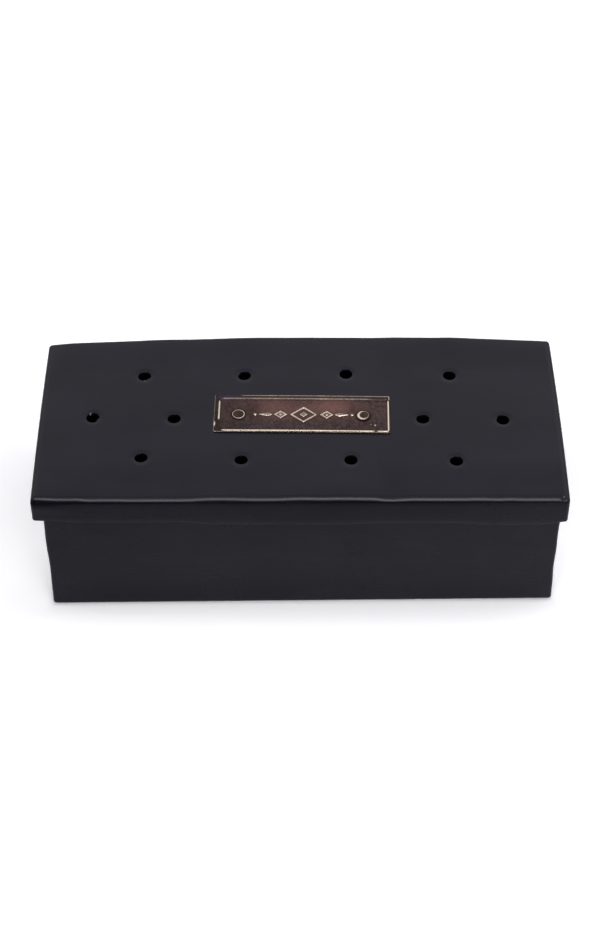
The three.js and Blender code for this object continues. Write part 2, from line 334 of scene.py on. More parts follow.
def lid_shape(x, y, drop):
    """Places on the finished lid from a plain pan's plan and its drop below the top face.

    The drop past the fold is stretched to the skirt's depth. The fold's lift, the ripple and the
    knock fade out over the fold. The bow, the taper and the bulge move the long sides out.
    """
    arch, along, side = lid_arch(x), x / half_lid[0], y / half_lid[1]
    skirt = along_table(x, SKIRT_DEPTHS)
    stretched = LID_FOLD + (drop - LID_FOLD) * (skirt - LID_FOLD) / (SKIRT - LID_FOLD)
    hang = np.where(drop > LID_FOLD, stretched, drop)
    taper = np.where(side > 0, BACK_TAPER * along, 0)
    lift = along_table(x, FRONT_LIFTS) * near_edge(-side) + along_table(x, BACK_LIFTS) * near_edge(side)
    fold = eased(1 - hang / LID_FOLD)
    (wave_x, wave_y), (cross_x, cross_y) = RIPPLE_WAVES
    ripple = RIPPLE * np.sin(x / wave_x + y / wave_y) * np.cos(y / cross_y + x / cross_x)
    bulge = BULGE * bell(x - BULGE_X, hang - BULGE_DROP, *BULGE_REACH) * (side < 0)
    knock = KNOCK * bell(x - KNOCK_PLACE[0], y - KNOCK_PLACE[1], KNOCK_REACH, KNOCK_REACH)
    at_ends = np.abs(along) ** END_POWER * np.clip(1 - side ** 2, 0, 1)
    end_bow = np.where(along > 0, RIGHT_BOW, -LEFT_BOW) * at_ends
    return np.stack([
        x + end_bow,
        y + side * (SIDE_BOW * arch + taper + bulge),
        -hang + CROWN * arch + (lift + ripple - knock) * fold,
    ], axis=-1)


def turned(x, y, angle, shift):
    """A place turned about the middle, then shifted."""
    c, s = np.cos(angle), np.sin(angle)
    return x * c - y * s + shift[0], x * s + y * c + shift[1]


def lid_place(points):
    """Points of the lid's own frame taken to where the lid lies on the tray."""
    x, y, z = np.moveaxis(points, -1, 0)
    return np.stack([*turned(x, y, LID_TURN, LID_SHIFT), z + LID_TOP], axis=-1)


def unbowed(x, y):
    """The plain pan's place that the bow and taper move to a place on the finished lid."""
    reach = SIDE_BOW * lid_arch(x) + (BACK_TAPER * x / half_lid[0] if y > 0 else 0)
    return x, y / (1 + reach / half_lid[1])


print("skirt from", SKIRT_DEPTHS[0][1], "to", SKIRT_DEPTHS[-1][1], "mm deep at its ends")

# %% [markdown]
# The vents were punched by hand on marked lines, so no two sit or look quite alike. The punch has
# dragged the sheet down round each of them into a shallow dish, and left a burr here and there that
# stands as a nick in the rim. Two burrs have lost their paint and shine. Each vent has numbers of
# its own, because copies of one perfect hole would look printed.

# %% Vents and rivet holes
VENT_RADIUS = 2.74
VENT_DISH = 0.17
VENT_DISH_REACH = 2.2
RIVET_HOLE_RADIUS = 1.8
ROUND = (1, 0, 0, 0)
# Each vent's place as shares of the lid's size, its height to width, its lean, and the bearing and
# depth of the nick in its rim
VENT_SHARES = [
    (-0.3035, 0.256, 0.96, 0.1, -0.9, 0.18), (-0.108, 0.2505, 0.93, 0.35, 2.7, 0.12),
    (0.0905, 0.2585, 1.05, 0.0, 2.4, 0.05), (0.293, 0.2515, 0.98, 0.1, -0.6, 0.04),
    (-0.397, -0.005, 1.06, 0.2, -0.55, 0.22), (-0.241, -0.02, 0.96, 0.0, 1.5, 0.03),
    (0.2355, -0.0295, 0.95, 0.1, 1.9, 0.1), (0.3885, -0.0275, 1.02, 0.2, 2.9, 0.12),
    (-0.299, -0.258, 0.93, 0.35, 2.2, 0.05), (-0.1105, -0.279, 0.9, 0.0, 0.3, 0.03),
    (0.0955, -0.2825, 0.99, 0.2, -1.8, 0.03), (0.2935, -0.286, 0.96, 0.1, 2.2, 0.1),
]
# The vents whose burr has lost its paint, and the bare fleck's bearing there
FLECKS = [(0, -1.5), (4, 2.0)]
FLECK_REACH = 0.32
BADGE_LENGTH, BADGE_WIDTH, BADGE_THICKNESS = 71.1, 21.5, 0.5
BADGE_PLACE = np.array([1.0, -0.15])
BADGE_TURN = np.radians(-1.1)
RIVETS = [(-25.7, -0.95), (24.5, -1.3)]


def badge_to_lid(x, y):
    """A place on the badge as a place on the lid."""
    return turned(x, y, BADGE_TURN, BADGE_PLACE)


vents = [(*unbowed(u * LID_LENGTH, v * LID_WIDTH), VENT_RADIUS, *shape) for u, v, *shape in VENT_SHARES]
rivet_holes = [(*unbowed(*badge_to_lid(x, y)), RIVET_HOLE_RADIUS, *ROUND) for x, y in RIVETS]
lid_holes = vents + rivet_holes
print(len(vents), "vents and", len(rivet_holes), "rivet holes")

# %% Build the lid
# The spacing of the lines: fine, coarse, and the length over which it fades
LID_SPACING = (FINE, 4.0, 2.0)
KNOCK_ZONE = 2
# How much narrower the hole gets down its wall, and at what depth
SLEEVE = [(0.07, 0.03), (0.11, 0.12), (0.12, 0.3), (0.12, 0.95), (0.09, 1.12)]
zones_x = [(x - ZONE, x + ZONE) for x, *_ in lid_holes]
zones_x.append((KNOCK_PLACE[0] - KNOCK_ZONE, KNOCK_PLACE[0] + KNOCK_ZONE))
zones_y = [(y - ZONE, y + ZONE) for _, y, *_ in lid_holes]


def dish(x, y):
    """How far the punch dragged the sheet down: deepest at each vent's rim and eased out beyond it."""
    drag = 0
    for vent_x, vent_y, radius, *_ in vents:
        away = np.hypot(x - vent_x, y - vent_y) - radius
        drag = drag + VENT_DISH * (1 - eased(away / VENT_DISH_REACH)) ** 2
    return drag


def lid_points(x, y, drop):
    """The lid's points from plan and drop, with the dishes pressed into both faces of its top."""
    return lid_place(lid_shape(x, y, drop + dish(x, y) * (drop <= SHEET)))


def sheet_parts(points_of, half, fold, corner, section, zones, spacing, holes=(), sleeve=()):
    """Grids for a sheet's two faces, the wall round them and each hole's sleeve, as points and faces.

    points_of gives the place of a plan and its drop. The grid is fine in the zones along x and y, by
    the spacing of graded_lines. The sleeve says how much narrower a hole gets, and at what drop.
    """
    inset, drop = section
    xs, ys = (graded_lines(-reach, reach, ranges, *spacing) for reach, ranges in zip(half - fold, zones))
    plan, keep, rims = punched_grid(xs, ys, holes)
    rings = rings_round(xs, ys, half, fold, corner, inset)
    cells, round_wall = grid_faces(*plan.shape[:2])[keep], grid_faces(*rings.shape[:2], wrap=True)
    grids = [(plan, drop[0], cells), (plan, drop[-1], cells[:, ::-1]), (rings, drop[:, None], round_wall)]
    levels = [(0, drop[0]), *sleeve, (0, drop[-1])]
    narrower, depth = (np.array(level)[:, None] for level in zip(*levels))
    for (x, y, radius, *shape), rim in zip(holes, rims):
        edge = plan[tuple(rim.T)]
        bearing = np.arctan2(edge[:, 1] - y, edge[:, 0] - x)
        reach = (radius - narrower) * rim_share(bearing, *shape)
        wall = np.stack([x + reach * np.cos(bearing), y + reach * np.sin(bearing)], axis=-1)
        grids.append((wall, depth, grid_faces(*wall.shape[:2], wrap=True)[..., ::-1]))
    return [
        (points_of(*np.moveaxis(grid, -1, 0), down + 0 * grid[..., 0]), faces) for grid, down, faces in grids]


lid_parts = sheet_parts(
    lid_points, half_lid, LID_FOLD, LID_CORNER, wall_section(SKIRT, LID_FOLD, LID_EDGE),
    (zones_x, zones_y), LID_SPACING, lid_holes, SLEEVE)
everywhere = np.concatenate([points.reshape(-1, 3) for points, faces in lid_parts])
bare = 0 * everywhere[:, 0]
for number, bearing in FLECKS:
    x, y, radius, *_ = vents[number]
    at_x, at_y = x + radius * np.cos(bearing), y + radius * np.sin(bearing)
    fleck = lid_points(np.array(at_x), np.array(at_y), np.array(0.0))
    bare += bell(everywhere[:, 0] - fleck[0], everywhere[:, 1] - fleck[1], FLECK_REACH, FLECK_REACH)
lid = closed_piece("vented_lid", lid_parts, {"bare": bare})

# %% [markdown]
# The tray is the same kind of pan the right way up, only deeper. Its walls wander a little between
# the floor's fold and the rim, and its bottom corners are tighter.

# %% Build the tray
TRAY_FOLD = 1.6
TRAY_CORNER = 1.2
TRAY_EDGE = 0.4
TRAY_SPACING = (0.9, 3.0)
# The strips along the ends and the sides where the grid is fine, from the tray's middle
FINE_ENDS, FINE_SIDES = (98, 110), (38, 50)
# The long walls' sway out and in: how far, and the length of its wave over 2 pi
SWAY, SWAY_WAVE = 0.12, 23
# Height up the wall, and how far the left and right walls lean out there
LEFT_LEAN = [(0, 0.15), (8, 0.05), (22, -0.2), (36, 0.15), (52, -0.08), (62.5, 0)]
RIGHT_LEAN = [(0, 0.3), (8, 0.15), (20, -0.25), (30, 0), (38, -0.15), (52, 0.15), (62.5, 0)]

half_tray = np.array([TRAY_LENGTH, TRAY_WIDTH]) / 2


def tray_points(x, y, rise):
    """Places on the tray from its plan and its rise above the base, with the walls' lean and sway."""
    along, side = x / half_tray[0], y / half_tray[1]
    lean = np.where(along < 0, -along_table(rise, LEFT_LEAN), along_table(rise, RIGHT_LEAN))
    sway = SWAY * np.sin(np.pi * rise / TRAY_HEIGHT) * np.sin(x / SWAY_WAVE + 1) * side
    return np.stack([x + lean * np.abs(along) ** END_POWER, y + sway, rise], axis=-1)


tray_zones = [[(-high, -low), (low, high)] for low, high in (FINE_ENDS, FINE_SIDES)]
tray_parts = sheet_parts(
    tray_points, half_tray, TRAY_FOLD, TRAY_CORNER, wall_section(TRAY_HEIGHT, TRAY_FOLD, TRAY_EDGE),
    tray_zones, TRAY_SPACING)
# The tray stands the other way up, so its faces are turned over
tray = closed_piece("chip_tray", [(points, faces[..., ::-1]) for points, faces in tray_parts])

# %% [markdown]
# The badge is a struck plate: its border line and ornament stand a third of a millimetre proud. Each
# mark is written as a distance to its outline, and the height rises over a short slope where that
# distance passes zero. An extruded outline would have sharp walls, which a struck plate never has.

# %% The badge's marks
BADGE_CORNER, BADGE_EDGE = 0.9, 0.24
# The border's margins at the left and right, and at the front and back
MARGINS = np.array([[1.65, 0.6], [0.2, 2.15]])
BORDER_LINE, BORDER_CORNER = 0.7, 1.2
LOZENGE = np.array([11.0, 9.0]) / 2
LOZENGE_LINE, LOZENGE_CORE = 0.7, 0.3
SIDE_LOZENGE, SIDE_LOZENGE_X = 0.5, 9.3
BAR_HALF, BAR_BREAK, BAR_X = np.array([3.0, 0.9]), 0.3, 15.4
BEAD_RADIUS, BEAD_X = 0.6, 19.5

half_badge = np.array([BADGE_LENGTH, BADGE_WIDTH]) / 2
half_border = half_badge - MARGINS.sum(axis=1) / 2
border_shift = (MARGINS[:, 0] - MARGINS[:, 1]) / 2


def rectangle_distance(x, y, half, corner):
    """Distance to a rounded rectangle's outline, negative inside it."""
    qx, qy = np.abs(x) - half[0] + corner, np.abs(y) - half[1] + corner
    outside = np.hypot(np.maximum(qx, 0), np.maximum(qy, 0))
    return outside + np.minimum(np.maximum(qx, qy), 0) - corner


def lozenge_distance(x, y, half):
    """Distance to a lozenge's outline, negative inside it."""
    return (np.abs(x) / half[0] + np.abs(y) / half[1] - 1) * half[0] * half[1] / np.hypot(*half)


def line_distance(outline, width):
    """Distance to a line just inside an outline, from the distance to the outline."""
    return np.abs(outline + width / 2) - width / 2


def nested_distance(x, y, half):
    """Distance to a lozenge drawn as a line, or to the solid one in its middle."""
    line = line_distance(lozenge_distance(x, y, half), LOZENGE_LINE)
    return np.minimum(line, lozenge_distance(x, y, half * LOZENGE_CORE))


def bar_distance(x, y):
    """Distance to a bar that swells near its inner end and runs out to a point, negative inside."""
    share = np.clip((x + BAR_HALF[0]) / (2 * BAR_HALF[0]), 0, 1)
    width = BAR_HALF[1] * np.minimum(share / BAR_BREAK, (1 - share) / (1 - BAR_BREAK))
    return np.maximum(np.abs(y) - width, np.abs(x) - BAR_HALF[0])


def ornament_distance(x, y):
    """Distance to the nearest mark of the ornament: nested lozenges, bars and beads."""
    away = np.abs(x)
    return np.min([
        nested_distance(x, y, LOZENGE),
        nested_distance(away - SIDE_LOZENGE_X, y, LOZENGE * SIDE_LOZENGE),
        bar_distance(away - BAR_X, y),
        np.hypot(away - BEAD_X, y) - BEAD_RADIUS,
    ], axis=0)


def mark_distances(x, y):
    """A place from the border's middle, and its distances to the border line and the ornament."""
    bx, by = x - border_shift[0], y - border_shift[1]
    border = line_distance(rectangle_distance(bx, by, half_border, BORDER_CORNER), BORDER_LINE)
    return bx, by, border, ornament_distance(bx, by)


print("border", np.round(2 * half_border, 2), "mm")

# %% [markdown]
# Fingers have rubbed the dark bronze back to gold on the raised lines, and the same gold paints
# highlights just inside each mark's outline and along the plate's back and front edges. The lines at
# the back are given less gold, as painted shade. Soot and painted shade lie beside the lines and the
# rivets, a painted reddish sheen lies on parts of the plate, and heat has turned the back left corner
# violet. So the plate carries four numbers at each point for its material to read.

# %% The badge's relief and wear
RELIEF = 0.35
SLOPE = 0.26
# The plate is pressed in a little round each rivet: how deep, how far out, and over what length
SEAT_DEPTH, SEAT_REACH, SEAT_EASE = 0.1, 2.6, 1.6
# Soft spots: how strong, where on the plate, and the reach each way. The first table is a painted reddish
# sheen.
SHEEN_SPOTS = [(0.4, 0, 2, 24, 7), (0.6, 13, 4, 8, 5), (0.3, -12, 4, 7, 5)]
SOOT_SPOTS = [(0.6, -20.5, 1, 3, 5), (0.6, 20.3, 1.5, 1.6, 3)]
VIOLET_SPOTS = [(0.8, -31, 8.9, 4.5, 1.3), (0.5, 34.3, 9.6, 0.7, 0.7)]
GOLD_FLECKS = [(1, -35.2, -6.3, 0.35, 1.3), (0.8, 29.2, -6.6, 0.35, 0.5), (0.5, 27.6, -6, 0.3, 0.3)]
# How far from the border's middle its long and its short lines begin, and over what length
LONG_LINES, SHORT_LINES, LINE_EASE = 7.5, 32, 1.2


def spots(x, y, table):
    """The sum of a table's spots, each a bell about its own place."""
    return sum(share * bell(x - at_x, y - at_y, *reach) for share, at_x, at_y, *reach in table)


def raised(distance):
    """1 inside a mark and 0 outside it, eased over the slope about its outline."""
    return 1 - eased(distance / SLOPE + 0.5)


def rivet_distance(x, y):
    """Distance to the nearer rivet's axis."""
    return np.min([np.hypot(x - rivet_x, y - rivet_y) for rivet_x, rivet_y in RIVETS], axis=0)


def badge_relief(x, y):
    """Height of the marks over the plate, less the seat pressed in round each rivet."""
    seat = SEAT_DEPTH * (1 - eased((rivet_distance(x, y) - SEAT_REACH) / SEAT_EASE))
    return RELIEF * raised(np.minimum(*mark_distances(x, y)[2:])) - seat


def border_kept(bx, by):
    """How much gold each stretch of the border keeps, from 0 to 1; less at the back is painted shade."""
    back, front = eased((by - LONG_LINES) / LINE_EASE), eased((-by - LONG_LINES) / LINE_EASE)
    left = eased((-bx - SHORT_LINES) / LINE_EASE)
    # The back stretches keep less gold: painted shade
    shaded_back = 1 - 0.55 * back * (1 - left)
    short_left = 1 - left * eased((np.abs(by - 2.3) - 4.4) / 1.8)
    shaded_back_right = 1 - 0.5 * back * eased((bx - 24) / 4)
    front_gap = 1 - 0.8 * front * bell(bx - 29, 0, 0.9, 1)
    return shaded_back * short_left * shaded_back_right * front_gap


def edge_gold(x, y, patchy):
    """Gold outside the border: on the plate's edge, a painted highlight at its back and front, on a painted
    highlight line at the back, and in flecks.
    """
    edge = rectangle_distance(x, y, half_badge, BADGE_CORNER)
    # The rim's back and front stretches, and the back line below, are painted highlight
    sides = [0.78 * eased(-x - 34), 0.3 * eased(y - 9.5), 0.3 * eased((-y - 10.2) / 0.4)]
    rim = eased(1 + edge / 0.3) * np.max(sides, axis=0)
    back_line = 0.5 * raised(np.abs(edge + 0.6) - 0.22) * eased((y - 8) / 0.5) * eased((x + 27) / 4)
    return np.max([rim, back_line * patchy, spots(x, y, GOLD_FLECKS)], axis=0)


def badge_wear(x, y):
    """How much gold, painted sheen, soot and shade, and violet lie on the plate, each from 0 to 1.

    The gold is rubbed wear and painted highlight. A line's gold is its relief times a slow patchiness,
    which the right line has none of. A mark of the ornament is brightest just inside its outline, a
    painted highlight. Gold keeps the soot and shade off.
    """
    bx, by, border, marks = mark_distances(x, y)
    patches = np.sin(bx / 2.1 + 1.3) * np.sin(bx / 5.3 + by / 3)
    patchy = 0.8 + 0.2 * np.maximum(patches, eased(bx - SHORT_LINES))
    # A painted highlight just inside each mark's outline
    outlined = 0.35 + 0.65 * bell(marks + 0.12, 0, 0.17, 1)
    on_border = raised(border + 0.06) * patchy * border_kept(bx, by)
    rub_and_highlight = np.max([on_border, raised(marks) * patchy * outlined, edge_gold(x, y, patchy)], axis=0)
    # Soot and painted shade: darkest beside the raised lines and in a ring round each rivet
    soot_and_shade = np.max([
        0.75 * bell(np.minimum(np.abs(border), np.abs(marks)), 0, 0.45, 1),
        bell(rivet_distance(x, y) - 3.0, 0, 0.5, 1),
        0.75 * eased((-bx - half_border[0]) / 0.3),
        0.5 * eased((by - half_border[1] + 0.2) / 0.3),
        0.25 * eased((-x - 22) / 4),
        spots(x, y, SOOT_SPOTS),
    ], axis=0) * (1 - eased(rub_and_highlight * 2))
    return {"rub_and_highlight": rub_and_highlight, "painted_sheen": spots(x, y, SHEEN_SPOTS), "soot_and_shade": soot_and_shade, "violet": spots(x, y, VIOLET_SPOTS)}


print("seat at a rivet", round(float(badge_relief(*RIVETS[0])), 2), "mm")

# %% [markdown]
# The plate is bent over the lid's crown, so its points go through the same arch as the lid's. The
# wear is worked out on the same grids laid flat.

# %% Build the badge
BADGE_SPACING = (0.17, 0.34, 1.0)
BADGE_ZONES = [(-36, -33), (-30, 30), (33, 36)], [(-11, -9), (-6, 4), (7, 9)]
BADGE_GAP = 0.1
MARGIN_RINGS = 7


def badge_points(x, y, drop):
    """Places on the badge, which bends with the lid's crown, from its plan and drop below its face."""
    lid_x, lid_y = badge_to_lid(x, y)
    height = badge_relief(x, y) * (drop <= 0)
    seat = CROWN * lid_arch(lid_x) + BADGE_GAP + BADGE_THICKNESS
    return lid_place(np.stack([lid_x, lid_y, seat - drop + height], axis=-1))


def badge_parts(points_of):
    """The badge's grids, with its wall from a margin on the face over both rounded edges."""
    margin = np.linspace(BADGE_CORNER, BADGE_EDGE, MARGIN_RINGS + 1)[:-1]
    inward, down = quarter(BADGE_EDGE, EDGE_STEPS)
    inset = np.concatenate([margin, inward, down, [BADGE_CORNER]])
    drop = np.concatenate([0 * margin, down, BADGE_THICKNESS - inward, [BADGE_THICKNESS]])
    return sheet_parts(
        points_of, half_badge, BADGE_CORNER, BADGE_CORNER, (inset, drop), BADGE_ZONES, BADGE_SPACING,
        [(x, y, RIVET_HOLE_RADIUS, *ROUND) for x, y in RIVETS])


laid_flat = badge_parts(lambda *place: np.stack(place, axis=-1))
flat = np.concatenate([points.reshape(-1, 3) for points, faces in laid_flat])
badge = closed_piece("badge", badge_parts(badge_points), badge_wear(flat[:, 0], flat[:, 1]))

# %% [markdown]
# Two rivets hold the badge. The hammer left their heads slightly hollow, with a rounded shoulder that
# fingers have rubbed bright: a thin ring on the left one, and a broad crescent on the right one, which
# leans. The band is broader and brighter towards one side as a painted highlight, with a painted sheen
# on the other side and painted shade in the hollow. Each is a profile turned about the rivet's own axis.

# %% Build the rivets
RIVET_STEPS = 72
SHANK_RADIUS = 1.5
TAIL_RADIUS, TAIL_HEIGHT, TAIL_GAP = 2.4, 1.0, 0.1
HEAD_RADIUS, HEAD_SINK, HOLLOW_EASE = 2.65, 0.08, 0.4
BAND, BAND_GROWTH = 0.045, 0.13
# Ring as a share of the head, crest, hollow, lean, bearing in degrees of the brightest side, how much
# the gold band grows towards there, and how bright it is opposite: the growth and the dimming are a
# painted highlight
RIVET_HEADS = [
    ("left_rivet", 0.92, 0.32, 0.1, 0.03, -15, 0.1, 0.8),
    ("right_rivet", 0.84, 0.66, 0.2, 0.08, 200, 1.15, 0.45),
]


def rivet_profile(face, ring, crest, hollow):
    """Radius and height from the tail over the shank to the head's middle, and where the head begins."""
    tail_share = np.sin(np.linspace(0, np.pi / 2, 13))
    bend = np.linspace(0, np.pi / 2, 9)
    inside = np.linspace(ring, 0, 17)[1:]
    head_share = np.concatenate([ring + (1 - ring) * np.cos(bend), inside])
    head = np.concatenate([crest * np.sin(bend), crest - hollow * eased((ring - inside) / HOLLOW_EASE)])
    base, under = face + BADGE_GAP + BADGE_THICKNESS - HEAD_SINK, face - SHEET - TAIL_GAP
    tail = under - TAIL_HEIGHT * np.sqrt(1 - tail_share ** 2)
    shank = [SHANK_RADIUS, SHANK_RADIUS]
    radius = np.concatenate([TAIL_RADIUS * tail_share, shank, HEAD_RADIUS * head_share])
    return radius, np.concatenate([tail, [under, base], base + head]), len(tail) + len(shank)


def rivet_piece(place, name, ring, crest, hollow, lean, brightest, growth, dimmest):
    """A rivet turned from its profile, a little out of round, leaning towards its brightest side, where its
    gold band is a painted highlight.
    """
    lid_x, lid_y = badge_to_lid(*place)
    radius, height, head_start = rivet_profile(CROWN * lid_arch(lid_x), ring, crest, hollow)
    brightest = np.radians(brightest)
    angle = np.linspace(0, 2 * np.pi, RIVET_STEPS, endpoint=False)
    out_of_round = 1 + 0.02 * np.sin(2 * angle + place[0]) + 0.012 * np.sin(5 * angle)
    x = radius[:, None] * np.cos(angle) * out_of_round
    y = radius[:, None] * np.sin(angle) * out_of_round
    on_head = (np.arange(len(radius)) >= head_start)[:, None]
    towards = (x * np.cos(brightest) + y * np.sin(brightest)) / HEAD_RADIUS
    z = height[:, None] - on_head * lean * towards
    r = np.hypot(x, y) / HEAD_RADIUS
    # How far a point faces the brightest side, which sets the painted highlight and sheen
    facing = eased(0.5 + 0.5 * np.cos(angle - brightest))
    width = BAND + growth * BAND_GROWTH * facing
    band = bell(r - ring + 0.5 * width, 0, width, 1)
    wear = {
        "rub_and_highlight": on_head * band * (dimmest + (1 - dimmest) * facing),
        "painted_sheen": 0.35 * on_head * (1 - facing) + 0 * x,
        # Painted shade in the hollow of the head
        "soot_and_shade": 0.4 * on_head * eased((ring - r) / 0.2),
        "violet": 0 * x,
    }
    points = lid_place(np.stack([lid_x + x, lid_y + y, z], axis=-1))
    faces = grid_faces(len(radius), RIVET_STEPS, wrap=True)[..., ::-1]
    return closed_piece(name, [(points, faces)], {mark: value.ravel() for mark, value in wear.items()})


rivet_left, rivet_right = (rivet_piece(place, *head) for place, head in zip(RIVETS, RIVET_HEADS))

# %% [markdown]
# A material is a network of nodes. Written out one by one they would hide the recipe, so a helper
# makes them by kind and feeds their inputs.

# %% A helper for node materials
BUMP_STRENGTH = 0.5


class Nodes:
    """Makes a tree's nodes by kind and feeds their inputs."""

    def __init__(self, tree):
        self.tree = tree

    def add(self, kind, inputs=None, **settings):
        node = self.tree.nodes.new("ShaderNode" + kind)
        for key, value in settings.items():
            setattr(node, key, value)
        self.feed(node, inputs or {})
        return node

    def feed(self, node, inputs):
        """Links each input that is given a socket, and sets the others."""
        for key, value in inputs.items():
            if isinstance(value, bpy.types.NodeSocket):
                self.tree.links.new(value, node.inputs[key])
            else:
                node.inputs[key].default_value = value

    def noise(self, place, scale, detail, stretch=(1, 1, 1)):
        """Noise at a number of lumps per metre, its place stretched along the axes."""
        spread = self.vector("MULTIPLY", place, stretch)
        return self.add("TexNoise", {"Vector": spread, "Scale": scale, "Detail": detail}).outputs[0]

    def fit(self, value, low, high, new_low, new_high):
        """A value's range fitted to another, held at its ends."""
        return self.add("MapRange", {0: value, 1: low, 2: high, 3: new_low, 4: new_high}).outputs[0]

    def math(self, operation, first, *others):
        """An operation carried along all the values."""
        for other in others:
            first = self.add("Math", {0: first, 1: other}, operation=operation).outputs[0]
        return first

    def vector(self, operation, first, second=(0, 0, 0)):
        """An operation on vectors, of which LENGTH gives a number."""
        node = self.add("VectorMath", {0: first, 1: second}, operation=operation)
        return node.outputs["Value" if operation == "LENGTH" else 0]

    def parts(self, vector):
        """The x, y and z of a vector."""
        return self.add("SeparateXYZ", {0: vector}).outputs

    def mix(self, share, first, second):
        """Two colours mixed by a share, which is held between 0 and 1."""
        return self.add("Mix", {0: share, 6: first, 7: second}, data_type="RGBA").outputs[2]

    def attribute(self, name):
        """A number that the mesh carries at each point."""
        return self.add("Attribute", attribute_name=name).outputs["Fac"]

    def bump(self, height, distance, **under):
        """A normal bent by a height times a distance in metres, over another normal if given."""
        inputs = {"Height": height, "Distance": distance, "Strength": BUMP_STRENGTH, **under}
        return self.add("Bump", inputs).outputs[0]


def material(name):
    """A new material with its node helper, its shader and the object's own coordinates."""
    made = bpy.data.materials.new(name)
    made.use_nodes = True
    nodes = Nodes(made.node_tree)
    return made, nodes, made.node_tree.nodes["Principled BSDF"], nodes.add("TexCoord").outputs["Object"]


# %% [markdown]
# Black heat-resistant paint is nearly black beneath a satin skin: what the eye reads as its colour is
# mostly the studio mirrored softly in that skin. So the base is darker than it looks, and the detail
# sits in the roughness and in a very shallow bump: the orange peel of a sprayed coat, longer waves of
# the sheet beneath, and faint streaks. The base varies in soft blotches, and two burrs show bare
# metal. All of it reads Object coordinates, in metres.

# %% Black paint
PAINT_DARK, PAINT_LIGHT = (0.0026, 0.0023, 0.0066, 1), (0.006, 0.0056, 0.0108, 1)
BARE_METAL = (0.3, 0.29, 0.31, 1)
# Each noise's lumps per metre, detail, and stretch along the axes
CLOUDS, BLOTCHES, STREAKS = (22, 3, (1, 1, 1.4)), (38, 3, (1, 1, 1.3)), (60, 4, (0.35, 1.6, 2.2))
PEEL, WAVES = (1100, 2), (9, 1)
PEEL_HEIGHT, WAVE_HEIGHT = 0.00001, 0.0006


def black_paint():
    """Satin paint: colour from blotches and streaks, gloss from clouds and streaks, bump from peel."""
    made, nodes, shader, place = material("black_paint")
    streaks = nodes.noise(place, *STREAKS)
    blotches = nodes.math("MULTIPLY", nodes.noise(place, *BLOTCHES), 0.6)
    tone = nodes.math("ADD", blotches, nodes.math("MULTIPLY", streaks, 0.4))
    painted = nodes.mix(nodes.fit(tone, 0.35, 0.65, 0, 1), PAINT_DARK, PAINT_LIGHT)
    cloudy = nodes.fit(nodes.noise(place, *CLOUDS), 0.3, 0.7, 0.24, 0.29)
    skin = nodes.bump(nodes.noise(place, *PEEL), PEEL_HEIGHT)
    nodes.feed(shader, {
        "Base Color": nodes.mix(nodes.fit(nodes.attribute("bare"), 0.3, 0.8, 0, 1), painted, BARE_METAL),
        "Roughness": nodes.math("ADD", cloudy, nodes.fit(streaks, 0.3, 0.7, -0.015, 0.025)),
        "Normal": nodes.bump(nodes.noise(place, *WAVES), WAVE_HEIGHT, Normal=skin),
        "Specular IOR Level": 0.24,
    })
    return made


paint = black_paint()
print("black paint of", len(paint.node_tree.nodes), "nodes")

# %% [markdown]
# The badge's bronze is a metal, so its colour is the tint of what it mirrors. A dark patina covers it,
# with a painted reddish sheen towards the top, violet where the heat has caught it. Soot and painted
# shade lie beside the lines and the rivets, and one attribute brings the gold out, as rubbed wear and
# painted highlight.

# %% Antiqued bronze
# The patina's dark and middle colours, and the reddish colour of its painted sheen
BADGE_PATINA = (0.034, 0.025, 0.026, 1), (0.085, 0.057, 0.053, 1), (0.215, 0.106, 0.088, 1)
RIVET_PATINA = (0.038, 0.025, 0.024, 1), (0.068, 0.043, 0.038, 1), (0.17, 0.085, 0.055, 1)
# The gold serves rubbed wear and painted highlight, the dark serves soot and painted shade
GOLD_RUB_AND_HIGHLIGHT, VIOLET, SOOT_AND_SHADE = (0.8, 0.69, 0.55, 1), (0.085, 0.07, 0.15, 1), (0.018, 0.0145, 0.0085, 1)
PATINA_CLOUDS, MOTTLE, GRAIN = (110, 4), (900, 3, (1, 0.8, 1)), (1700, 3)
GRAIN_HEIGHT = 0.00003


def aged_bronze(name, dark, middle, sheen_colour):
    """Bronze in layers: patina, violet, painted sheen, soot and painted shade, and last the gold of rubbed
    wear and painted highlight, each laid on by its share.
    """
    made, nodes, shader, place = material(name)
    grain = nodes.noise(place, *GRAIN)
    clouds = nodes.math("MULTIPLY", nodes.noise(place, *PATINA_CLOUDS), 0.3)
    tone = nodes.math("ADD", clouds, nodes.math("MULTIPLY", nodes.noise(place, *MOTTLE), 0.7))
    colour = nodes.mix(nodes.fit(tone, 0.38, 0.62, 0, 1), dark, middle)
    colour = nodes.mix(nodes.fit(nodes.attribute("violet"), 0, 1, 0, 0.8), colour, VIOLET)
    # A painted reddish sheen, laid on by its attribute
    glow = nodes.math("MULTIPLY", nodes.attribute("painted_sheen"), nodes.fit(grain, 0.35, 0.65, 0.6, 1.3))
    colour = nodes.mix(glow, colour, sheen_colour)
    colour = nodes.mix(nodes.fit(nodes.attribute("soot_and_shade"), 0, 1, 0, 0.8), colour, SOOT_AND_SHADE)
    chips = nodes.math("MULTIPLY", nodes.attribute("rub_and_highlight"), nodes.fit(grain, 0.3, 0.5, 0.6, 1))
    bright = nodes.fit(chips, 0.15, 0.75, 0, 1)
    nodes.feed(shader, {
        "Base Color": nodes.mix(bright, colour, GOLD_RUB_AND_HIGHLIGHT),
        "Roughness": nodes.fit(bright, 0, 1, 0.45, 0.28),
        "Normal": nodes.bump(grain, GRAIN_HEIGHT),
        "Metallic": 1.0,
    })
    return made


